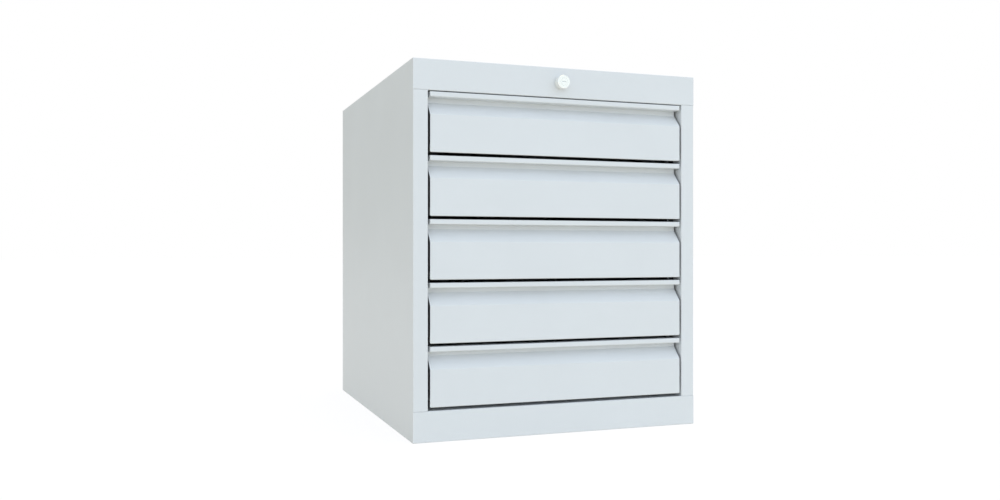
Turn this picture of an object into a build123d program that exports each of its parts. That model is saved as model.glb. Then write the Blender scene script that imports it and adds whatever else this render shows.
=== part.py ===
from build123d import *
import os

# Drawer unit of folded sheet steel: an open-fronted case, five drawers on ball slides and
# a push lock that catches all of them through a bar at the back.
# Millimetres, +Z up, drawers open towards -Y. The origin is on the floor, in the middle of
# the overall width and depth. Depths are counted from the front plane of the case.

# Case
CASE_WIDTH = 500.0
CASE_DEPTH = 600.0
CASE_HEIGHT = 600.0
SHEET = 1.0
BEND = 1.4
FIT = 0.3
SEAM = 0.15
FASCIA_HEIGHT = 49.0
PLINTH_HEIGHT = 49.0
STILE_WIDTH = 24.0
JAMB_DEPTH = 28.0
BAND_RETURN = 20.0
BAND_LIP = 8.0
EDGE_FLANGE = 14.0
BACK_FLANGE = 15.0
FOOT_FLANGE = 20.0

# Posts that carry the slides
POST_SHEET = 1.5
POST_DEPTH = 32.0
FRONT_POST_GAP = 20.0
REAR_POST_INSET = 22.0

# Corner plates with weld nuts for levelling feet
GUSSET_SIZE = 58.0
GUSSET_SHEET = 3.0
BOSS_ACROSS = 17.0
BOSS_HEIGHT = 12.0
BOSS_BORE_RADIUS = 4.25
BOSS_INSET = 35.0

# Drawer fronts
DRAWER_COUNT = 5
FRONT_TOP_GAP = 1.7
FRONT_GAP = 5.0
FRONT_FOOT_GAP = 5.3
FRONT_SIDE_GAP = 3.7
FRONT_THICKNESS = 21.5
FRONT_CORNER = 2.0
GRIP_LIP = 8.0
GRIP_DEPTH = 18.5
GRIP_WALL = 7.5
GRIP_SLOPE = 20.0
FRONT_TOP_FLANGE = 38.0
FRONT_FOOT_FLANGE = 12.0
HEM_THICKNESS = 3.0
HEM_HEIGHT = 12.0

# Drawer trays
TRAY_TOP_SETDOWN = 12.5
TRAY_FOOT_RISE = 5.0
TRAY_RIM = 6.0

# Slides
SLIDE_SETBACK = 26.0
SLIDE_END_GAP = 24.0
SLIDE_RISE = 30.0
SLIDE_THICKNESS = 12.7
SLIDE_HEIGHT = 45.7
MEMBER_SHEET = 1.2
MEMBER_BEND = 2.0
OUTER_BALL_GAP = 4.0
INNER_BALL_GAP = 3.2
OUTER_MEMBER_DEPTH = 10.4
MIDDLE_MEMBER_DEPTH = 7.2
INNER_MEMBER_DEPTH = 7.5
CAGE_SHEET = 0.6
CAGE_DEPTH = 5.4
CAGE_LENGTH = 220.0

# Push lock
LOCK_PROUD = 13.0
LOCK_RADIUS = 11.0
LOCK_TRAVEL = 9.0
LOCK_EDGE = 0.8
LOCK_SHOULDER = 14.0
LOCK_STEM_RADIUS = 4.0
LOCK_WALL = 2.2
LOCK_HOUSING_DEPTH = 32.0
LOCK_PLATE_WIDTH = 50.0
LOCK_PLATE_HEIGHT = 24.0
LOCK_PLATE_SHEET = 2.0
STUD_SPACING = 40.0
STUD_RADIUS = 2.0
NUT_ACROSS = 7.0
NUT_HEIGHT = 3.2
PLUG_RADIUS = 6.0
PLUG_LENGTH = 12.0
KEYWAY_WIDTH = 7.6
KEYWAY_HEIGHT = 1.5
KEYWAY_DEPTH = 8.0

# Locking linkage
PIN_RADIUS = 3.0
STRIP = 3.0
ROD_HEIGHT = 14.0
ROD_TANG = 10.0
ROD_GAP = 2.0
CRANK_CLEARANCE = 20.0
CRANK_DROP = 30.5
CRANK_REACH = 30.0
CRANK_WIDTH = 12.0
BAR_WIDTH = 14.0
BAR_LIFT = 8.8
BAR_PLAY = 4.0
BAR_TAIL = 8.0
HOOK_PLAY = 1.5
HOOK_LIP = 2.0
HOOK_ARM = 6.0
HOOK_GAP = 3.5
CATCH_SHEET = 1.5
CATCH_WIDTH = 24.0
CATCH_REACH = 15.5
CATCH_LIP = 9.5
CATCH_LEG = 22.0
CATCH_RISE = 48.0
BRACKET_SHEET = 1.5
BRACKET_HEIGHT = 20.0
BRACKET_FOOT = 16.0
GUIDE_HEIGHT = 24.0
GUIDE_PIN_RADIUS = 2.5
GUIDE_RISE = 13.0

# Planes and heights that follow from the sizes
FRONT_Y = (LOCK_PROUD - CASE_DEPTH) / 2
HALF_WIDTH = CASE_WIDTH / 2
INSIDE = HALF_WIDTH - SHEET
OPENING_HALF = HALF_WIDTH - STILE_WIDTH
OPENING_LOW = PLINTH_HEIGHT
OPENING_HIGH = CASE_HEIGHT - FASCIA_HEIGHT
BACK_INSIDE = CASE_DEPTH - 2 * SHEET
STACK = OPENING_HIGH - OPENING_LOW - FRONT_TOP_GAP - FRONT_FOOT_GAP
FRONT_HEIGHT = (STACK - (DRAWER_COUNT - 1) * FRONT_GAP) / DRAWER_COUNT
FRONT_HALF = OPENING_HALF - FRONT_SIDE_GAP
CRANK_DEPTH = BACK_INSIDE - CRANK_CLEARANCE
BAR_DEPTH = CRANK_DEPTH - CRANK_REACH
BAR_FRONT = BAR_DEPTH - BAR_WIDTH / 2
CATCH_TIP = BAR_FRONT - BAR_PLAY
TRAY_HALF = OPENING_HALF - SLIDE_THICKNESS
TRAY_BACK = CATCH_TIP - CATCH_REACH
SLIDE_START = FRONT_THICKNESS + SLIDE_SETBACK
SLIDE_LENGTH = TRAY_BACK - SLIDE_END_GAP - SLIDE_START
REAR_POST_START = SLIDE_START + SLIDE_LENGTH - REAR_POST_INSET - POST_DEPTH
LOCK_HEIGHT = CASE_HEIGHT - FASCIA_HEIGHT / 2
LOCK_STEM_END = LOCK_HOUSING_DEPTH + ROD_GAP + ROD_TANG
CRANK_HEIGHT = LOCK_HEIGHT - CRANK_DROP
CHEEK = STRIP / 2 + FIT
GUIDE_DRAWERS = (1, DRAWER_COUNT - 1)


def block(x0, x1, d0, d1, z0, z1):
    """A straight block between two corners."""
    centre = Pos((x0 + x1) / 2, FRONT_Y + (d0 + d1) / 2, (z0 + z1) / 2)
    return centre * Box(x1 - x0, d1 - d0, z1 - z0)


def fold(points, sheet=SHEET, bend=BEND):
    """Outline of a folded sheet: the points run along one face, with the sheet on their left.
    The outer side of every bend is rounded by the bend radius and the inner side is sharp."""
    near = [Vector(*point) for point in points]
    runs = [(b - a).normalized() for a, b in zip(near, near[1:])]
    left = [run.rotate(Axis.Z, 90) for run in runs]
    far = [near[0] + left[0] * sheet]
    near_radii = [0]
    far_radii = [0]
    for corner, before, after in zip(near[1:], left, left[1:]):
        far.append(corner + (before + after) * (sheet / (1 + before.dot(after))))
        turns_left = before.cross(after).Z > 0
        near_radii.append(bend if turns_left else 0)
        far_radii.append(0 if turns_left else bend)
    far.append(near[-1] + left[-1] * sheet)
    radii = [*near_radii, 0, 0, *reversed(far_radii)]
    return make_face(FilletPolyline(*near, *reversed(far), radius=radii, close=True))


def along_x(outline, x0, x1):
    """Extrudes an outline drawn in depth and height."""
    return extrude(Plane.YZ.offset(x0) * Pos(FRONT_Y, 0) * outline, x1 - x0, dir=(1, 0, 0))


def along_depth(outline, d0, d1):
    """Extrudes an outline drawn in width and height."""
    start = Plane(origin=(0, FRONT_Y + d0, 0), x_dir=(1, 0, 0), z_dir=(0, -1, 0))
    return extrude(start * outline, d1 - d0, dir=(0, 1, 0))


def along_z(outline, z0, z1):
    """Extrudes an outline drawn in width and depth."""
    return extrude(Pos(0, FRONT_Y, z0) * outline, z1 - z0, dir=(0, 0, 1))


def rod_along_depth(radius, d0, d1, z, x=0.0):
    """A round rod that runs back from d0 to d1."""
    return along_depth(Pos(x, z) * Circle(radius), d0, d1)


def pin_along_x(radius, x0, x1, depth, z):
    """A round pin that runs across from x0 to x1."""
    return along_x(Pos(depth, z) * Circle(radius), x0, x1)


def pair(solid):
    """A left-hand piece and its mirror image on the right."""
    return Compound([solid, mirror(solid, about=Plane.YZ)])


def front_top(index):
    """Height of the top edge of a drawer front, counted from the top drawer."""
    return OPENING_HIGH - FRONT_TOP_GAP - index * (FRONT_HEIGHT + FRONT_GAP)


def tray_foot(index):
    """Height of the underside of a tray."""
    return front_top(index) - FRONT_HEIGHT + TRAY_FOOT_RISE


def catch_top(index):
    """Height of the upper face of the catch on the back of a tray."""
    return tray_foot(index) + CATCH_RISE


def left_side_panel():
    """Side wall, stile and jamb folded from one sheet, with flanges at the back and foot."""
    stile = [
        (BACK_FLANGE - HALF_WIDTH, CASE_DEPTH),
        (-HALF_WIDTH, CASE_DEPTH),
        (-HALF_WIDTH, 0),
        (-OPENING_HALF, 0),
        (-OPENING_HALF, JAMB_DEPTH),
    ]
    wall = [*stile[:2], (-HALF_WIDTH, SHEET)]
    panel = along_z(fold(stile), OPENING_LOW + SEAM, OPENING_HIGH - SEAM)
    panel += along_z(fold(wall), 0, OPENING_LOW + SEAM)
    panel += along_z(fold(wall), OPENING_HIGH - SEAM, CASE_HEIGHT)
    foot = block(-INSIDE, FOOT_FLANGE - INSIDE, SHEET, CASE_DEPTH - SHEET, 0, SHEET)
    return panel + foot


def band_panel(low, high, returned):
    """Front band over the whole width, folded back into a sheet between the side walls."""
    lip_height = BAND_LIP + SHEET
    profile = [
        (BACK_INSIDE, high - EDGE_FLANGE),
        (BACK_INSIDE, high),
        (0, high),
        (0, low),
        (BAND_RETURN, low),
        (BAND_RETURN, low + lip_height),
    ]
    panel = along_x(fold(profile), -HALF_WIDTH, HALF_WIDTH)
    for side in (-1, 1):
        wall, inner = sorted((side * HALF_WIDTH, side * INSIDE))
        panel -= block(wall, inner, SHEET, CASE_DEPTH, low, high)
        wall, inner = sorted((side * HALF_WIDTH, side * returned))
        panel -= block(wall, inner, SHEET, BAND_RETURN, low, low + lip_height)
        wall, inner = sorted((side * INSIDE, side * (INSIDE - SHEET)))
        edge_foot = high - EDGE_FLANGE
        panel += block(wall, inner, BAND_RETURN + SHEET, BACK_INSIDE, edge_foot, high - SHEET)
    return panel


def top_panel():
    """Top sheet and fascia, with the hole for the lock and two weld studs beside it."""
    panel = band_panel(OPENING_HIGH, CASE_HEIGHT, INSIDE)
    panel -= rod_along_depth(LOCK_RADIUS + FIT, -SHEET, 2 * SHEET, LOCK_HEIGHT)
    stud_end = SHEET + LOCK_PLATE_SHEET + 2 * NUT_HEIGHT
    for side in (-1, 1):
        x = side * STUD_SPACING / 2
        panel += rod_along_depth(STUD_RADIUS, SHEET / 2, stud_end, LOCK_HEIGHT, x)
    return panel


def base_panel():
    """Floor sheet and plinth band, cut back at the corners for the corner plates."""
    return band_panel(0, PLINTH_HEIGHT, INSIDE - GUSSET_SIZE - FIT)


def back_panel():
    """Flat sheet behind the edge flanges, held by the rear flanges of the side walls."""
    half = INSIDE - FIT
    return block(-half, half, BACK_INSIDE, BACK_INSIDE + SHEET, SHEET, CASE_HEIGHT)


def posts(setback):
    """Channels from the side walls to the opening, one behind each jamb, left and right."""
    section = [
        (-INSIDE, setback),
        (-OPENING_HALF, setback),
        (-OPENING_HALF, setback + POST_DEPTH),
        (-INSIDE, setback + POST_DEPTH),
    ]
    head = CASE_HEIGHT - EDGE_FLANGE - FIT
    return pair(along_z(fold(section, POST_SHEET, 2 * POST_SHEET), OPENING_LOW, head))


def base_gussets():
    """Corner plates on the foot flanges, each with a weld nut for a levelling foot."""
    plates = []
    for start, way in ((SHEET + FIT, 1), (BACK_INSIDE, -1)):
        d0, d1 = sorted((start, start + way * GUSSET_SIZE))
        boss_depth = BOSS_INSET if way > 0 else CASE_DEPTH - BOSS_INSET
        foot = SHEET
        top = foot + GUSSET_SHEET
        plate = block(-INSIDE, GUSSET_SIZE - INSIDE, d0, d1, foot, top)
        plate = chamfer_corner(plate, way)
        centre = Pos(BOSS_INSET - HALF_WIDTH, boss_depth)
        nut = RegularPolygon(BOSS_ACROSS / 2, 6, major_radius=False)
        plate += along_z(centre * nut, top, foot + BOSS_HEIGHT)
        plate -= along_z(centre * Circle(BOSS_BORE_RADIUS), 0, foot + BOSS_HEIGHT)
        plates += [plate, mirror(plate, about=Plane.YZ)]
    return Compound(plates)


def chamfer_corner(plate, way):
    """Cuts the free corner of a corner plate across."""
    edges = plate.edges().filter_by(Axis.Z).sort_by(Axis.X)[-2:]
    free = edges.sort_by(Axis.Y)[-1 if way > 0 else 0]
    return chamfer(free, GUSSET_SIZE / 2)


def drawer_front(index):
    """Folded front: a grip lip over a sloping recess, closed at the ends of the lip, with an
    open hem along its foot and rounded lower corners. The ledge and the flanges that hold it to
    the tray are as wide as the tray."""
    top = front_top(index)
    foot = top - FRONT_HEIGHT
    under_lip = top - GRIP_LIP
    crease = under_lip - GRIP_WALL
    ledge = foot + HEM_HEIGHT
    profile = [
        (FRONT_THICKNESS, top - FRONT_TOP_FLANGE),
        (FRONT_THICKNESS, top),
        (0, top),
        (0, under_lip),
        (GRIP_DEPTH, under_lip),
        (GRIP_DEPTH, crease),
        (0, crease - GRIP_SLOPE),
        (0, foot),
        (HEM_THICKNESS, foot),
        (HEM_THICKNESS, ledge),
        (FRONT_THICKNESS, ledge),
        (FRONT_THICKNESS, ledge + FRONT_FOOT_FLANGE),
    ]
    front = along_x(fold(profile), -FRONT_HALF, FRONT_HALF)
    flange_front = FRONT_THICKNESS - SHEET
    for side in (-1, 1):
        x0, x1 = sorted((side * FRONT_HALF, side * (FRONT_HALF - SHEET)))
        front += block(x0, x1, SHEET, flange_front, under_lip + SHEET, top - SHEET)
        x0, x1 = sorted((side * FRONT_HALF, side * TRAY_HALF))
        top_flange = (top - FRONT_TOP_FLANGE, under_lip)
        foot_flange = (ledge, ledge + FRONT_FOOT_FLANGE)
        front -= block(x0, x1, flange_front, FRONT_THICKNESS, *top_flange)
        front -= block(x0, x1, HEM_THICKNESS, FRONT_THICKNESS, *foot_flange)
    outline = Rectangle(2 * FRONT_HALF, FRONT_HEIGHT)
    outline = fillet(outline.vertices().group_by(Axis.Y)[0], FRONT_CORNER)
    return front & along_depth(Pos(0, (foot + top) / 2) * outline, 0, FRONT_THICKNESS)


def drawer_tray(index):
    """Open box with a rim turned inwards along its top edge."""
    foot = tray_foot(index)
    top = front_top(index) - TRAY_TOP_SETDOWN

    def core(inset, z0, z1):
        half = TRAY_HALF - inset
        return block(-half, half, FRONT_THICKNESS + inset, TRAY_BACK - inset, z0, z1)

    hollow = core(SHEET, foot + SHEET, top - SHEET)
    return core(0, foot, top) - hollow - core(TRAY_RIM, top - SHEET, top)


def drawer_catch(index):
    """Bracket on the back wall of a tray, with a lip that the bar's hook comes up behind."""
    top = catch_top(index)
    profile = [
        (CATCH_TIP, top - CATCH_LIP),
        (CATCH_TIP, top),
        (TRAY_BACK, top),
        (TRAY_BACK, top - CATCH_LEG),
    ]
    section = fold(profile, CATCH_SHEET, 0)
    return along_x(section, -CATCH_WIDTH / 2, CATCH_WIDTH / 2)


def slide_members(index, web, reach, half_height, sheet, bend, start, length):
    """A channel on both sides: its web at one depth, its flanges reaching inwards or outwards."""
    centre = tray_foot(index) + SLIDE_RISE
    rise = half_height if reach > 0 else -half_height
    web_x = web - OPENING_HALF
    section = [
        (web_x + reach, centre + rise),
        (web_x, centre + rise),
        (web_x, centre - rise),
        (web_x + reach, centre - rise),
    ]
    return pair(along_depth(fold(section, sheet, bend), start, start + length))


def slide_set(index):
    """The three members of the slides and the two ball cages between them."""
    outer_half = SLIDE_HEIGHT / 2
    outer_cage_half = outer_half - MEMBER_SHEET - (OUTER_BALL_GAP - CAGE_SHEET) / 2
    middle_half = outer_half - MEMBER_SHEET - OUTER_BALL_GAP
    inner_cage_half = middle_half - MEMBER_SHEET - (INNER_BALL_GAP - CAGE_SHEET) / 2
    inner_half = middle_half - MEMBER_SHEET - INNER_BALL_GAP
    outer_cage_web = MEMBER_SHEET + FIT
    middle_web = outer_cage_web + CAGE_SHEET + FIT
    inner_cage_web = middle_web + MEMBER_SHEET + FIT
    member = (MEMBER_SHEET, MEMBER_BEND, SLIDE_START)
    outer_member = (MEMBER_SHEET, 0, SLIDE_START)
    cage_start = SLIDE_START + (SLIDE_LENGTH - CAGE_LENGTH) / 2
    cage = (CAGE_SHEET, 0, cage_start, CAGE_LENGTH)
    depths = (OUTER_MEMBER_DEPTH, MIDDLE_MEMBER_DEPTH, -INNER_MEMBER_DEPTH)
    return {
        "outer_slides": slide_members(
            index, 0, depths[0], outer_half, *outer_member, SLIDE_LENGTH
        ),
        "outer_cages": slide_members(index, outer_cage_web, CAGE_DEPTH, outer_cage_half, *cage),
        "middle_slides": slide_members(
            index, middle_web, depths[1], middle_half, *member, SLIDE_LENGTH
        ),
        "inner_cages": slide_members(index, inner_cage_web, CAGE_DEPTH, inner_cage_half, *cage),
        "inner_slides": slide_members(
            index, SLIDE_THICKNESS, depths[2], inner_half, *member, SLIDE_LENGTH
        ),
    }


def lock_housing():
    """Square sleeve behind the fascia, on a plate that sits over the weld studs."""
    outer = 2 * (LOCK_RADIUS + FIT + LOCK_WALL)
    plate_back = SHEET + LOCK_PLATE_SHEET
    plate = Pos(0, LOCK_HEIGHT) * Rectangle(LOCK_PLATE_WIDTH, LOCK_PLATE_HEIGHT)
    housing = along_depth(plate, SHEET, plate_back)
    sleeve = chamfer(Rectangle(outer, outer).vertices(), LOCK_WALL)
    housing += along_depth(Pos(0, LOCK_HEIGHT) * sleeve, SHEET, LOCK_HOUSING_DEPTH)
    inner_end = LOCK_HOUSING_DEPTH - LOCK_WALL
    housing -= rod_along_depth(LOCK_RADIUS + FIT, SHEET, inner_end, LOCK_HEIGHT)
    housing -= rod_along_depth(LOCK_STEM_RADIUS + FIT, SHEET, LOCK_HOUSING_DEPTH, LOCK_HEIGHT)
    for side in (-1, 1):
        x = side * STUD_SPACING / 2
        housing -= rod_along_depth(STUD_RADIUS + FIT, SHEET, plate_back, LOCK_HEIGHT, x)
    return housing


def lock_nuts():
    """Two hexagon nuts on the weld studs."""
    start = SHEET + LOCK_PLATE_SHEET
    nuts = []
    for side in (-1, 1):
        x = side * STUD_SPACING / 2
        hexagon = RegularPolygon(NUT_ACROSS / 2, 6, major_radius=False)
        hole = Circle(STUD_RADIUS + FIT / 2)
        nuts.append(along_depth(Pos(x, LOCK_HEIGHT) * (hexagon - hole), start, start + NUT_HEIGHT))
    return Compound(nuts)


def lock_barrel():
    """Push barrel with a rounded front edge, a bore for the plug and a forked stem."""
    head = rod_along_depth(LOCK_RADIUS, -LOCK_PROUD, LOCK_SHOULDER, LOCK_HEIGHT)
    rim = head.edges().filter_by(GeomType.CIRCLE).sort_by(Axis.Y)[0]
    head = chamfer(rim, LOCK_EDGE)
    bore_end = PLUG_LENGTH + FIT - LOCK_PROUD
    head -= rod_along_depth(PLUG_RADIUS + FIT / 2, -LOCK_PROUD, bore_end, LOCK_HEIGHT)
    head += rod_along_depth(LOCK_STEM_RADIUS, LOCK_SHOULDER, LOCK_STEM_END, LOCK_HEIGHT)
    low, high = LOCK_HEIGHT - LOCK_RADIUS, LOCK_HEIGHT + LOCK_RADIUS
    fork_start = LOCK_STEM_END - ROD_TANG
    return head - block(-STRIP / 2, STRIP / 2, fork_start, LOCK_STEM_END, low, high)


def lock_plug():
    """Turning plug with a level keyway."""
    plug = rod_along_depth(PLUG_RADIUS, -LOCK_PROUD, PLUG_LENGTH - LOCK_PROUD, LOCK_HEIGHT)
    keyway = Pos(0, LOCK_HEIGHT) * SlotOverall(KEYWAY_WIDTH, KEYWAY_HEIGHT)
    return plug - along_depth(keyway, -LOCK_PROUD, KEYWAY_DEPTH - LOCK_PROUD)


def lock_rod():
    """Flat rod under the top, from the fork of the barrel to a slot round the crank's pin."""
    start = LOCK_STEM_END - ROD_TANG
    half = ROD_HEIGHT / 2
    hole = PIN_RADIUS + FIT
    end = CRANK_DEPTH + hole + half / 2
    middle = (start + end) / 2
    strip = Pos(middle, LOCK_HEIGHT) * Rectangle(end - start, ROD_HEIGHT)
    drop = CRANK_DROP - (CRANK_DROP**2 - LOCK_TRAVEL**2) ** 0.5
    slot = Pos(CRANK_DEPTH, LOCK_HEIGHT - drop / 2) * SlotOverall(2 * hole + drop, 2 * hole, 90)
    return along_x(strip - slot, -STRIP / 2, STRIP / 2)


def lock_crank():
    """Bell crank: the arm up meets the rod, the arm forward lifts the bar."""
    x0 = CHEEK
    x1 = x0 + STRIP
    half = CRANK_WIDTH / 2
    pivot = Pos(CRANK_DEPTH, CRANK_HEIGHT)
    upper = pivot * Pos(0, CRANK_DROP / 2) * SlotOverall(CRANK_DROP + 2 * half, 2 * half, 90)
    forward = pivot * Pos(-CRANK_REACH / 2, 0) * SlotOverall(CRANK_REACH + 2 * half, 2 * half)
    plate = upper + forward + pivot * Circle(half + STRIP)
    plate -= pivot * Circle(PIN_RADIUS + FIT)
    crank = along_x(plate, x0, x1)
    crank += pin_along_x(PIN_RADIUS, -CHEEK, x0, CRANK_DEPTH, LOCK_HEIGHT)
    return crank + pin_along_x(PIN_RADIUS, -CHEEK, x0, BAR_DEPTH, CRANK_HEIGHT)


def crank_bracket():
    """Angle on the back panel with the pin that the crank turns on."""
    x0 = CHEEK + STRIP + FIT
    front = CRANK_DEPTH - BRACKET_HEIGHT / 2
    low = CRANK_HEIGHT - BRACKET_HEIGHT / 2
    profile = [(x0 + BRACKET_FOOT, BACK_INSIDE), (x0, BACK_INSIDE), (x0, front)]
    section = fold(profile, BRACKET_SHEET, 0)
    bracket = along_z(section, low, low + BRACKET_HEIGHT)
    return bracket + pin_along_x(PIN_RADIUS, CHEEK, x0, CRANK_DEPTH, CRANK_HEIGHT)


def hook_outline(index):
    """Arm forward from the bar with a lip turned up at its tip."""
    catch_foot = catch_top(index) - CATCH_LIP
    lip_top = catch_foot - HOOK_GAP
    arm_top = catch_foot - FIT - BAR_LIFT
    tip = CATCH_TIP - CATCH_SHEET - HOOK_PLAY - HOOK_LIP
    return [
        (BAR_DEPTH, arm_top - HOOK_ARM),
        (BAR_DEPTH, arm_top),
        (tip + HOOK_LIP, arm_top),
        (tip + HOOK_LIP, lip_top),
        (tip, lip_top),
        (tip, arm_top - HOOK_ARM / 2),
        (tip + HOOK_LIP, arm_top - HOOK_ARM),
    ]


def lock_bar():
    """Upright bar with a hook for every drawer, slots for the guide pins and the crank's pin."""
    head = CRANK_HEIGHT + BAR_WIDTH / 2 + PIN_RADIUS
    foot = min(z for depth, z in hook_outline(DRAWER_COUNT - 1)) - BAR_TAIL
    outline = Pos(BAR_DEPTH, (foot + head) / 2) * Rectangle(BAR_WIDTH, head - foot)
    for index in range(DRAWER_COUNT):
        outline += make_face(Polyline(*hook_outline(index), close=True))
    hole = PIN_RADIUS + FIT
    sweep = CRANK_REACH - (CRANK_REACH**2 - BAR_LIFT**2) ** 0.5
    crank_slot = SlotOverall(2 * hole + sweep, 2 * hole)
    outline -= Pos(BAR_DEPTH + sweep / 2, CRANK_HEIGHT) * crank_slot
    guide_hole = GUIDE_PIN_RADIUS + FIT
    for index in GUIDE_DRAWERS:
        slot = SlotOverall(2 * guide_hole + BAR_LIFT, 2 * guide_hole, 90)
        outline -= Pos(BAR_DEPTH, catch_top(index) + GUIDE_RISE - BAR_LIFT / 2) * slot
    return along_x(outline, -STRIP / 2, STRIP / 2)


def bar_guides():
    """Two forked brackets on the back panel, each with a pin through a slot of the bar."""
    guides = []
    outer = CHEEK + BRACKET_SHEET
    front = BAR_FRONT + BEND
    section = [(-outer, front), (-outer, BACK_INSIDE), (outer, BACK_INSIDE), (outer, front)]
    fork = fold(list(reversed(section)), BRACKET_SHEET, 0)
    for index in GUIDE_DRAWERS:
        height = catch_top(index) + GUIDE_RISE
        guide = along_z(fork, height - GUIDE_HEIGHT / 2, height + GUIDE_HEIGHT / 2)
        guides.append(guide + pin_along_x(GUIDE_PIN_RADIUS, -CHEEK, CHEEK, BAR_DEPTH, height))
    return Compound(guides)


def case_nodes():
    """The fixed case."""
    left = left_side_panel()
    return {
        "left_side_panel": left,
        "right_side_panel": mirror(left, about=Plane.YZ),
        "top_panel": top_panel(),
        "base_panel": base_panel(),
        "back_panel": back_panel(),
        "front_posts": posts(JAMB_DEPTH + FRONT_POST_GAP),
        "rear_posts": posts(REAR_POST_START),
        "base_gussets": base_gussets(),
    }


def lock_nodes():
    """The lock and the linkage that it works."""
    return {
        "lock_housing": lock_housing(),
        "lock_nuts": lock_nuts(),
        "lock_barrel": lock_barrel(),
        "lock_plug": lock_plug(),
        "lock_rod": lock_rod(),
        "lock_crank": lock_crank(),
        "crank_bracket": crank_bracket(),
        "lock_bar": lock_bar(),
        "bar_guides": bar_guides(),
    }


def drawer_nodes(index):
    """One drawer and its slides."""
    pieces = {
        "front": drawer_front(index),
        "tray": drawer_tray(index),
        "catch": drawer_catch(index),
        **slide_set(index),
    }
    return {f"drawer_{index + 1}_{name}": shape for name, shape in pieces.items()}


nodes = {**case_nodes(), **lock_nodes()}
for drawer_index in range(DRAWER_COUNT):
    nodes.update(drawer_nodes(drawer_index))

os.makedirs("parts", exist_ok=True)
for node_name, shape in nodes.items():
    export_step(shape, f"parts/{node_name}.step")
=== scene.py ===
from math import pi, radians

import bmesh
import bpy
from mathutils import Matrix, Vector


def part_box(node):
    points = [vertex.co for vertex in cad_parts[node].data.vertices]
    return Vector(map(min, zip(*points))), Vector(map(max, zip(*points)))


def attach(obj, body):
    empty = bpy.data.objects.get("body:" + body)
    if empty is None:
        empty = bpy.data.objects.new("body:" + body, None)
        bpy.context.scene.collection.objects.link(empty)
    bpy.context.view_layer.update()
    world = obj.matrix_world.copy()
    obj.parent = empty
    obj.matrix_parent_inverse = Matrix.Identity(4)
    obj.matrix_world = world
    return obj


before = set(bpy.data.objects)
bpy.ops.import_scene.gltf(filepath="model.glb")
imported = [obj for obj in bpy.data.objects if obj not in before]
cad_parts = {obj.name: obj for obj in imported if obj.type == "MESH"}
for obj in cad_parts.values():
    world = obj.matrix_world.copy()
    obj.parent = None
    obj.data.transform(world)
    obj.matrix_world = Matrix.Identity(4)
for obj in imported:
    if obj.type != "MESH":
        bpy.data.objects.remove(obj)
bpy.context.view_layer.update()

MM = 0.001
DRAWERS = range(1, 6)
SIDES = (-1, 1)

# Rivets and screws: a head's profile is (radius, height) in millimetres, the rest is in metres,
# and shares are of the length or height of what the rivets hold
RIVET_HEAD = ((0.0, 0.0), (3.0, 0.0), (3.0, 0.25), (2.4, 0.75), (1.4, 1.05), (0.0, 1.15))
SCREW_HEAD = ((0.0, 0.0), (3.6, 0.0), (3.6, 1.4), (3.1, 2.0), (1.6, 2.0), (1.6, 0.9), (0.0, 0.9))
HEAD_STEPS = 16
TRAY_SHEET = 1.0 * MM
SLIDE_RIVET_SHARES = (0.08, 0.5, 0.92)
FRONT_SCREW_PLACES = (-0.18, -0.06, 0.06, 0.18)
FRONT_SCREW_DROP = 13.0 * MM
CATCH_SHEET = 1.5 * MM
CATCH_RIVET_SIDE = 7.0 * MM
CATCH_RIVET_RISE = 6.5 * MM
BACK_RIVET_INSET = 7.5 * MM
BACK_RIVET_SHARES = (0.08, 0.29, 0.5, 0.71, 0.92)
EDGE_RIVET_INSET = 7.0 * MM
EDGE_RIVET_PLACES = (-0.16, 0.0, 0.16)

# Balls of the slides, in the flanges of their cages
BALL_PITCH = 9.0 * MM
BALL_FROM_WEB = 3.2 * MM
CAGE_HALF_SHEET = 0.3 * MM
OUTER_BALL = 1.9 * MM
INNER_BALL = 1.5 * MM
BALL_FACES = {"u_segments": 8, "v_segments": 6}

# Push lock: the seal's profile is (radius, height) in millimetres
LOCK_FACE_RIM = 0.1 * MM
SHUTTER_WIDTH = 7.6 * MM
SHUTTER_HEIGHT = 1.5 * MM
SHUTTER_SHEET = 0.5 * MM
SHUTTER_EDGE = 0.12 * MM
SHUTTER_DEPTH = 0.7 * MM
SEAL_RING = ((11.04, -1.0), (11.26, -1.0), (11.26, 0.1), (11.2, 0.18), (11.1, 0.18), (11.04, 0.1))
SEAL_STEPS = 96

# Colours of the finishes
PAINT = (0.715, 0.735, 0.745)
NYLON = (0.76, 0.79, 0.8)
SLIDE_ZINC = (0.64, 0.65, 0.665)
CAGE_STEEL = (0.42, 0.43, 0.44)
POST_ZINC = (0.58, 0.59, 0.60)
LINK_ZINC = (0.60, 0.60, 0.59)
RIVET_ZINC = (0.62, 0.63, 0.64)
HOUSING_NICKEL = (0.66, 0.695, 0.67)
SHUTTER_NICKEL = (0.64, 0.64, 0.59)
# The lock's polished side is painted lighter than its turned face, a painted lift against the
# shade it reflects from the band
POLISHED_SIDE_NICKEL_PAINTED_LIGHTER = (0.99, 0.98, 0.93)
TURNED_NICKEL = (0.82, 0.8, 0.705)
BALL_STEEL = (0.80, 0.80, 0.81)

# Patterns of the finishes, in waves a metre
PEEL = 420.0
MOTTLE = 9.0
PIGMENT = 1500.0
ROLLING_LINES = 1400.0
LINE_STRETCH = 0.02
ZINC_CLOUDS = 55.0
NICKEL_CLOUDS = 260.0
NICKEL_GRAIN = 2600.0
TURNED_RINGS = 5000.0

# Camera: it stands to the left of the case, level, at half the height of the case
FRONT_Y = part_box("top_panel")[0].y
LENS = 33.735
SENSOR = 36.0
CAMERA_LEFT = 0.6176
CAMERA_AHEAD = 1.4133
CAMERA_HEIGHT = 0.30094
CAMERA_YAW = 19.881

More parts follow.
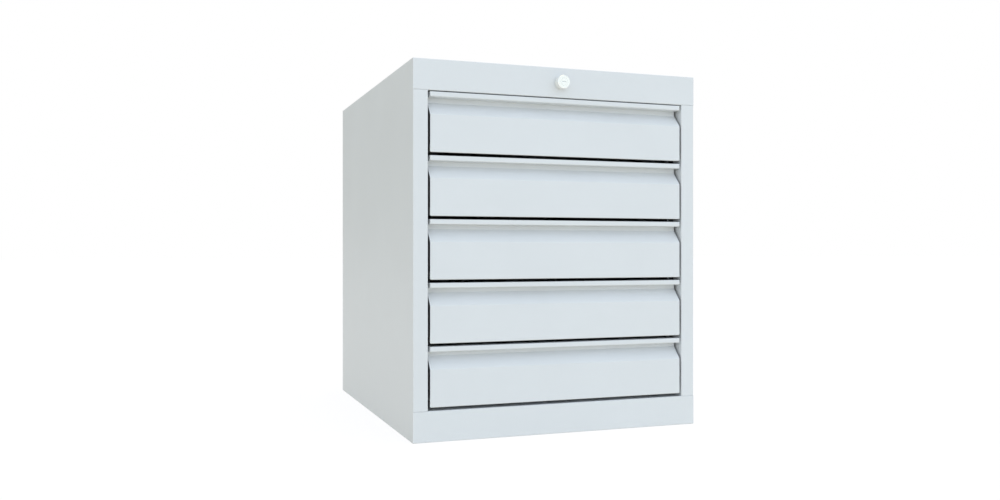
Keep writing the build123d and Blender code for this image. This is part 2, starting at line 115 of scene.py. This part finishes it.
# Light: a pale dome, brightest and coolest in front, and broad lamps behind and above
DOME_FRONT = (1.215, 1.362, 1.55, 1.0)
DOME_BACK = (0.374, 0.371, 0.333, 1.0)
DOME_BRIGHTEST = (0.13, -0.99, -0.05)
BACK_LIGHT = (0.43, 0.45, 0.465)
TOWARDS_BACK_LAMP = (0.35, 1.0, 0.45)
TOP_LIGHT = (0.225, 0.19, 0.093)
TOWARDS_TOP_LAMP = (0.0, 0.0, 1.0)
LAMP_SPREAD = 0.9
WHITE = (1.0, 1.0, 1.0, 1.0)

# Floor: it glows white for the camera and in reflections, and keeps a part of its shading
FLOOR_HALF = 30.0
FLOOR_COLOUR = (0.96, 0.89, 0.77, 1.0)
FLOOR_GLOW = (0.998, 1.006, 1.035, 1.0)
FLOOR_GLOW_STRENGTH = 1.055
FLOOR_GLOW_SHARE = 0.82

# Sockets of a Mix node that is set to colours
MIX_FACTOR, MIX_FIRST, MIX_SECOND, MIX_RESULT = 0, 6, 7, 2


class Term:
    """A value that varies over a surface; arithmetic on it adds Math nodes."""

    def __init__(self, finish, socket):
        self.finish = finish
        self.socket = socket

    def math(self, operation, first, second):
        return self.finish.add("ShaderNodeMath", {"operation": operation}, {0: first, 1: second})

    def __add__(self, other):
        return self.math("ADD", self, other)

    def __radd__(self, other):
        return self.math("ADD", other, self)

    def __sub__(self, other):
        return self.math("SUBTRACT", self, other)

    def __rsub__(self, other):
        return self.math("SUBTRACT", other, self)

    def __mul__(self, other):
        return self.math("MULTIPLY", self, other)

    def __rmul__(self, other):
        return self.math("MULTIPLY", other, self)

    def __lt__(self, other):
        return self.math("LESS_THAN", self, other)


class Finish:
    """A material in the making, with its own node tree and a Principled shader."""

    def __init__(self, name):
        self.material = bpy.data.materials.new(name)
        self.material.use_nodes = True
        self.tree = self.material.node_tree
        self.shader = self.tree.nodes["Principled BSDF"]
        self.output = self.tree.nodes["Material Output"]

    def feed(self, socket, value):
        if isinstance(value, Term):
            self.tree.links.new(value.socket, socket)
        else:
            socket.default_value = value

    def add(self, kind, settings=None, inputs=None, output=0):
        """Adds a node: its settings first, then the values or links of its sockets."""
        node = self.tree.nodes.new(kind)
        for setting, value in (settings or {}).items():
            if setting == "stops":
                self.set_stops(node.color_ramp, value)
            else:
                setattr(node, setting, value)
        for socket, value in (inputs or {}).items():
            self.feed(node.inputs[socket], value)
        return Term(self, node.outputs[output])

    def set_stops(self, ramp, stops):
        while len(ramp.elements) < len(stops):
            ramp.elements.new(1.0)
        for element, (position, level) in zip(ramp.elements, stops):
            element.position = position
            element.color = (level, level, level, 1.0)

    def set(self, **values):
        """Sets sockets of the Principled shader; words are joined by underscores."""
        for name, value in values.items():
            self.feed(self.shader.inputs[name.replace("_", " ")], value)

    def place(self, scale=(1.0, 1.0, 1.0)):
        """Object coordinates, stretched by a scale along each axis."""
        coordinates = self.add("ShaderNodeTexCoord", output="Object")
        return self.add("ShaderNodeMapping", None, {"Vector": coordinates, "Scale": scale})

    def noise(self, vector, scale, detail=2.0, roughness=0.5):
        sockets = {"Vector": vector, "Scale": scale, "Detail": detail, "Roughness": roughness}
        return self.add("ShaderNodeTexNoise", None, sockets)

    def ramp(self, factor, low, high):
        """Rises from 0 to 1 between two values of the factor."""
        stops = ((low, 0.0), (high, 1.0))
        return self.add("ShaderNodeValToRGB", {"stops": stops}, {"Fac": factor})

    def blend(self, factor, first, second):
        """A mix of two colours."""
        sockets = {MIX_FACTOR: factor, MIX_FIRST: first, MIX_SECOND: second}
        return self.add("ShaderNodeMix", {"data_type": "RGBA"}, sockets, MIX_RESULT)

    def bump(self, height, strength, distance):
        sockets = {"Height": height, "Strength": strength, "Distance": distance}
        return self.add("ShaderNodeBump", None, sockets)


def shade(colour, share=1.0):
    """A darker or lighter tone of a colour, with full alpha."""
    return tuple(min(channel * share, 1.0) for channel in colour) + (1.0,)


def powder_coat(name, colour, roughness=0.45):
    """Satin powder coat: a fine orange peel, a faint mottle and a fine grain of the pigment."""
    finish = Finish(name)
    place = finish.place()
    peel = finish.noise(place, PEEL)
    mottle = finish.noise(place, MOTTLE, 3.0, 0.6)
    pigment = finish.noise(place, PIGMENT, 1.0)
    tone = finish.ramp(mottle * 0.6 + pigment * 0.4, 0.3, 0.7)
    finish.set(
        Base_Color=finish.blend(tone, shade(colour, 0.975), shade(colour, 1.012)),
        Roughness=roughness - 0.04 + mottle * 0.08,
        Normal=finish.bump(peel, 0.12, 0.06 * MM),
        Specular_IOR_Level=0.45,
    )
    return finish.material


def zinc_plate(name, colour, along, roughness=0.34):
    """Zinc-plated strip steel with fine rolling lines along one axis and a cloudy sheen."""
    finish = Finish(name)
    stretch = tuple(LINE_STRETCH if axis == along else 1.0 for axis in "XYZ")
    lines = finish.noise(finish.place(stretch), ROLLING_LINES)
    clouds = finish.noise(finish.place(), ZINC_CLOUDS, 3.0, 0.6)
    tone = finish.ramp(clouds * 0.55 + lines * 0.45, 0.32, 0.68)
    finish.set(
        Base_Color=finish.blend(tone, shade(colour, 0.82), shade(colour, 1.08)),
        Metallic=0.92,
        Roughness=roughness - 0.08 + clouds * 0.16,
        Normal=finish.bump(lines, 0.18, 0.03 * MM),
    )
    return finish.material


def satin_plate(name, colour, roughness=0.2):
    """Satin nickel plate or polished steel, with faint clouds and a very fine grain."""
    finish = Finish(name)
    clouds = finish.noise(finish.place(), NICKEL_CLOUDS, 3.0, 0.6)
    grain = finish.noise(finish.place(), NICKEL_GRAIN, 1.0)
    tone = finish.ramp(clouds, 0.35, 0.65)
    finish.set(
        Base_Color=finish.blend(tone, shade(colour, 0.95), shade(colour)),
        Metallic=0.9,
        Roughness=roughness - 0.05 + clouds * 0.1,
        Normal=finish.bump(grain, 0.08, 0.02 * MM),
    )
    return finish.material


def turned_nickel_painted_side(name, face):
    """Polished nickel on the lock's side, its base colour painted lighter than the face's to
    offset the shade it reflects from the band, and fine rings left by turning on its flat face.
    """
    finish = Finish(name)
    place = finish.place()
    depth = finish.add("ShaderNodeSeparateXYZ", None, {"Vector": place}, "Y")
    on_face = depth < face.y + LOCK_FACE_RIM
    spread = {"operation": "DISTANCE"}
    radius = finish.add("ShaderNodeVectorMath", spread, {0: place, 1: face}, "Value")
    sockets = {"W": radius * TURNED_RINGS, "Scale": 1.0, "Detail": 1.0}
    rings = finish.add("ShaderNodeTexNoise", {"noise_dimensions": "1D"}, sockets)
    clouds = finish.noise(place, NICKEL_CLOUDS, 3.0, 0.6)
    ring_tone = finish.ramp(rings, 0.3, 0.7)
    face_tone = finish.blend(ring_tone, shade(TURNED_NICKEL, 0.96), shade(TURNED_NICKEL))
    finish.set(
        # The side gets a base colour painted lighter than the face's, a painted lift against the
        # shade it reflects from the band
        Base_Color=finish.blend(on_face, shade(POLISHED_SIDE_NICKEL_PAINTED_LIGHTER), face_tone),
        Metallic=0.92,
        Roughness=0.13 + clouds * 0.08 + on_face * 0.08,
        Normal=finish.bump(rings * on_face, 0.1, 0.02 * MM),
    )
    return finish.material


def pale_floor():
    """White studio floor that keeps a faint shadow under the case."""
    finish = Finish("studio_floor")
    finish.set(Base_Color=FLOOR_COLOUR, Roughness=0.9, Specular_IOR_Level=0.1)
    camera = finish.add("ShaderNodeLightPath", output="Is Camera Ray")
    glossy = finish.add("ShaderNodeLightPath", output="Is Glossy Ray")
    sockets = {"Color": FLOOR_GLOW, "Strength": FLOOR_GLOW_STRENGTH}
    glow = finish.add("ShaderNodeEmission", None, sockets)
    shaded = Term(finish, finish.shader.outputs[0])
    share = (camera + glossy) * FLOOR_GLOW_SHARE
    mixed = finish.add("ShaderNodeMixShader", None, {0: share, 1: shaded, 2: glow})
    finish.feed(finish.output.inputs["Surface"], mixed)
    return finish.material


def set_camera():
    data = bpy.data.cameras.new("camera")
    data.lens = LENS
    data.sensor_width = SENSOR
    data.sensor_fit = "HORIZONTAL"
    camera = bpy.data.objects.new("camera", data)
    bpy.context.collection.objects.link(camera)
    camera.location = (-CAMERA_LEFT, FRONT_Y - CAMERA_AHEAD, CAMERA_HEIGHT)
    camera.rotation_euler = (radians(90), 0, radians(-CAMERA_YAW))
    bpy.context.scene.camera = camera


def set_world():
    """Even pale light all round, seen as plain white by the camera."""
    world = bpy.data.worlds.new("studio")
    bpy.context.scene.world = world
    world.use_nodes = True
    tree = world.node_tree
    coordinates = tree.nodes.new("ShaderNodeTexCoord")
    turned_to = tree.nodes.new("ShaderNodeVectorMath")
    turned_to.operation = "DOT_PRODUCT"
    turned_to.inputs[1].default_value = DOME_BRIGHTEST
    share = tree.nodes.new("ShaderNodeMapRange")
    share.inputs["From Min"].default_value = -1.0
    tint = tree.nodes.new("ShaderNodeMix")
    tint.data_type = "RGBA"
    tint.inputs[MIX_FIRST].default_value = DOME_BACK
    tint.inputs[MIX_SECOND].default_value = DOME_FRONT
    light = tree.nodes["Background"]
    seen = tree.nodes.new("ShaderNodeBackground")
    seen.inputs["Color"].default_value = WHITE
    rays = tree.nodes.new("ShaderNodeLightPath")
    either = tree.nodes.new("ShaderNodeMath")
    either.operation = "MAXIMUM"
    mix = tree.nodes.new("ShaderNodeMixShader")
    output = tree.nodes["World Output"]
    for source, target in (
        (coordinates.outputs["Generated"], turned_to.inputs[0]),
        (turned_to.outputs["Value"], share.inputs["Value"]),
        (share.outputs["Result"], tint.inputs[MIX_FACTOR]),
        (tint.outputs[MIX_RESULT], light.inputs["Color"]),
        (rays.outputs["Is Camera Ray"], either.inputs[0]),
        (rays.outputs["Is Transmission Ray"], either.inputs[1]),
        (either.outputs[0], mix.inputs[0]),
        (light.outputs[0], mix.inputs[1]),
        (seen.outputs[0], mix.inputs[2]),
        (mix.outputs[0], output.inputs["Surface"]),
    ):
        tree.links.new(source, target)


def add_lamp(name, light, towards):
    """A lamp far away, as broad as a big soft box: light is its strength in each colour."""
    strength = max(light)
    data = bpy.data.lights.new(name, "SUN")
    data.energy = strength
    data.color = [channel / strength for channel in light]
    data.angle = LAMP_SPREAD
    lamp = bpy.data.objects.new(name, data)
    lamp.rotation_euler = Vector(towards).to_track_quat("Z", "Y").to_euler()
    bpy.context.collection.objects.link(lamp)


def make_object(name, shape, material):
    """Makes an object of a bmesh and gives it its material."""
    mesh = bpy.data.meshes.new(name)
    shape.to_mesh(mesh)
    shape.free()
    mesh.materials.append(material)
    made = bpy.data.objects.new(name, mesh)
    bpy.context.collection.objects.link(made)
    return made


def add_piece(name, shape, material, body):
    """Makes a piece that rides on a body."""
    piece = make_object(name, shape, material)
    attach(piece, body)


def add_floor():
    shape = bmesh.new()
    bmesh.ops.create_grid(shape, x_segments=1, y_segments=1, size=FLOOR_HALF)
    floor = make_object("floor", shape, pale_floor())


def add_copy(shape, made):
    """Moves a finished form into a larger shape."""
    mesh = bpy.data.meshes.new("form")
    made.to_mesh(mesh)
    made.free()
    shape.from_mesh(mesh)
    bpy.data.meshes.remove(mesh)


def add_turned(shape, profile, centre, towards, steps=HEAD_STEPS):
    """Adds a round form spun from (radius, height) points, with its height along towards."""
    made = bmesh.new()
    points = [made.verts.new((radius * MM, 0.0, height * MM)) for radius, height in profile]
    edges = [made.edges.new(pair) for pair in zip(points, points[1:])]
    sweep = {"cent": (0.0, 0.0, 0.0), "axis": (0.0, 0.0, 1.0), "angle": 2 * pi, "steps": steps}
    bmesh.ops.spin(made, geom=points + edges, use_merge=True, **sweep)
    bmesh.ops.remove_doubles(made, verts=made.verts, dist=1e-7)
    bmesh.ops.recalc_face_normals(made, faces=made.faces)
    turn = Vector(towards).to_track_quat("Z", "Y").to_matrix().to_4x4()
    bmesh.ops.transform(made, matrix=Matrix.Translation(centre) @ turn, verts=made.verts)
    add_copy(shape, made)


def add_heads(name, body, profile, towards, centres, material):
    """A set of equal rivet or screw heads that face the same way."""
    shape = bmesh.new()
    for centre in centres:
        add_turned(shape, profile, centre, towards)
    add_piece(name, shape, material, body)


def add_balls(name, body, node, radius, material):
    """Rows of steel balls in the upper and lower flanges of the cages of one drawer."""
    low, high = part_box(node)
    x = high.x - BALL_FROM_WEB
    count = int((high.y - low.y) / BALL_PITCH)
    start = (low.y + high.y - (count - 1) * BALL_PITCH) / 2
    ball = bmesh.new()
    bmesh.ops.create_uvsphere(ball, radius=radius, **BALL_FACES)
    for face in ball.faces:
        face.smooth = True
    mesh = bpy.data.meshes.new("ball")
    ball.to_mesh(mesh)
    ball.free()
    shape = bmesh.new()
    last = Vector((0.0, 0.0, 0.0))
    for z in (low.z + CAGE_HALF_SHEET, high.z - CAGE_HALF_SHEET):
        for place in range(count):
            for side in SIDES:
                spot = Vector((side * x, start + place * BALL_PITCH, z))
                mesh.transform(Matrix.Translation(spot - last))
                shape.from_mesh(mesh)
                last = spot
    bpy.data.meshes.remove(mesh)
    add_piece(name, shape, material, body)


def drawer_fittings(drawer, ball_steel, rivet_steel):
    """The slides' balls, the rivets of slides and catch, and the screws that hold the front."""
    for part, radius in (("outer_cage", OUTER_BALL), ("inner_cage", INNER_BALL)):
        cage = f"{drawer}_{part}"
        add_balls(f"{cage}_balls", cage, f"{cage}s", radius, ball_steel)
    low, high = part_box(f"{drawer}_tray")
    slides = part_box(f"{drawer}_inner_slides")
    height = (slides[0].z + slides[1].z) / 2
    length = slides[1].y - slides[0].y
    for side, label in zip(SIDES, ("left", "right")):
        name = f"{drawer}_{label}_slide_rivets"
        wall = side * (high.x - TRAY_SHEET)
        spots = [(wall, slides[0].y + share * length, height) for share in SLIDE_RIVET_SHARES]
        add_heads(name, drawer, RIVET_HEAD, (-side, 0, 0), spots, rivet_steel)
    height = high.z - FRONT_SCREW_DROP
    spots = [(x, low.y + TRAY_SHEET, height) for x in FRONT_SCREW_PLACES]
    add_heads(f"{drawer}_front_screws", drawer, SCREW_HEAD, (0, 1, 0), spots, rivet_steel)
    low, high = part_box(f"{drawer}_catch")
    back, height = low.y + CATCH_SHEET, low.z + CATCH_RIVET_RISE
    spots = [(side * CATCH_RIVET_SIDE, back, height) for side in SIDES]
    add_heads(f"{drawer}_catch_rivets", drawer, RIVET_HEAD, (0, 1, 0), spots, rivet_steel)


def case_fittings(rivet_steel):
    """Rivets that hold the back panel to the flanges of the side walls, top and floor."""
    low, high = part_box("left_side_panel")
    x = -low.x - BACK_RIVET_INSET
    spots = [(side * x, high.y, high.z * share) for side in SIDES for share in BACK_RIVET_SHARES]
    add_heads("side_flange_rivets", "root", RIVET_HEAD, (0, 1, 0), spots, rivet_steel)
    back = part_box("back_panel")[1].y
    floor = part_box("base_panel")[1].z
    rows = (high.z - EDGE_RIVET_INSET, floor - EDGE_RIVET_INSET)
    spots = [(x, back, z) for z in rows for x in EDGE_RIVET_PLACES]
    add_heads("back_edge_rivets", "root", RIVET_HEAD, (0, 1, 0), spots, rivet_steel)


def lock_shutter(face, material):
    """Dust shutter a little below the face of the plug, behind the keyway."""
    shape = bmesh.new()
    bmesh.ops.create_cube(shape, size=1.0)
    bmesh.ops.scale(shape, vec=(SHUTTER_WIDTH, SHUTTER_SHEET, SHUTTER_HEIGHT), verts=shape.verts)
    rounding = {"affect": "EDGES", "segments": 2, "profile": 0.5, "material": -1}
    bmesh.ops.bevel(shape, geom=shape.edges[:], offset=SHUTTER_EDGE, **rounding)
    y = face.y + SHUTTER_DEPTH + SHUTTER_SHEET / 2
    bmesh.ops.translate(shape, vec=(0.0, y, face.z), verts=shape.verts)
    add_piece("lock_shutter", shape, material, "lock_plug")


def lock_seal(face, material):
    """Thin dust seal in the clearance between the push lock and its hole in the band."""
    shape = bmesh.new()
    centre = (0.0, FRONT_Y, face.z)
    add_turned(shape, SEAL_RING + SEAL_RING[:1], centre, (0, -1, 0), SEAL_STEPS)
    add_piece("lock_seal", shape, material, "root")


def dress(material, *nodes):
    """Gives CAD nodes their material."""
    for node in nodes:
        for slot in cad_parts[node].material_slots:
            slot.material = material


bpy.context.scene.view_settings.view_transform = "Standard"
set_camera()
set_world()
add_lamp("back_lamp", BACK_LIGHT, TOWARDS_BACK_LAMP)
add_lamp("top_lamp", TOP_LIGHT, TOWARDS_TOP_LAMP)
add_floor()

plug_low, plug_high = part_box("lock_plug")
lock_face = Vector((0.0, plug_low.y, (plug_low.z + plug_high.z) / 2))

paint = powder_coat("light_grey_powder_coat", PAINT)
seal_nylon = powder_coat("seal_nylon", NYLON, 0.5)
slide_zinc = zinc_plate("slide_zinc_plate", SLIDE_ZINC, "Y")
cage_steel = zinc_plate("cage_steel", CAGE_STEEL, "Y", 0.45)
post_steel = zinc_plate("galvanised_posts", POST_ZINC, "Z", 0.42)
link_steel = zinc_plate("linkage_zinc_plate", LINK_ZINC, "Y")
rivet_steel = zinc_plate("rivet_zinc_plate", RIVET_ZINC, "Y", 0.38)
housing_nickel = satin_plate("satin_nickel", HOUSING_NICKEL)
shutter_nickel = satin_plate("shutter_nickel", SHUTTER_NICKEL)
ball_steel = satin_plate("polished_balls", BALL_STEEL, 0.12)
lock_nickel = turned_nickel_painted_side("lock_nickel", lock_face)

dress(paint, "left_side_panel", "right_side_panel", "top_panel", "base_panel", "back_panel")
dress(post_steel, "front_posts", "rear_posts", "base_gussets")
dress(link_steel, "lock_nuts", "lock_rod", "lock_crank", "crank_bracket", "lock_bar", "bar_guides")
dress(housing_nickel, "lock_housing")
dress(lock_nickel, "lock_barrel", "lock_plug")
for number in DRAWERS:
    drawer = f"drawer_{number}"
    dress(paint, f"{drawer}_front", f"{drawer}_tray")
    dress(link_steel, f"{drawer}_catch")
    for member in ("inner", "middle", "outer"):
        dress(slide_zinc, f"{drawer}_{member}_slides")
    dress(cage_steel, f"{drawer}_inner_cages", f"{drawer}_outer_cages")
    drawer_fittings(drawer, ball_steel, rivet_steel)
case_fittings(rivet_steel)
lock_shutter(lock_face, shutter_nickel)
lock_seal(lock_face, seal_nylon)
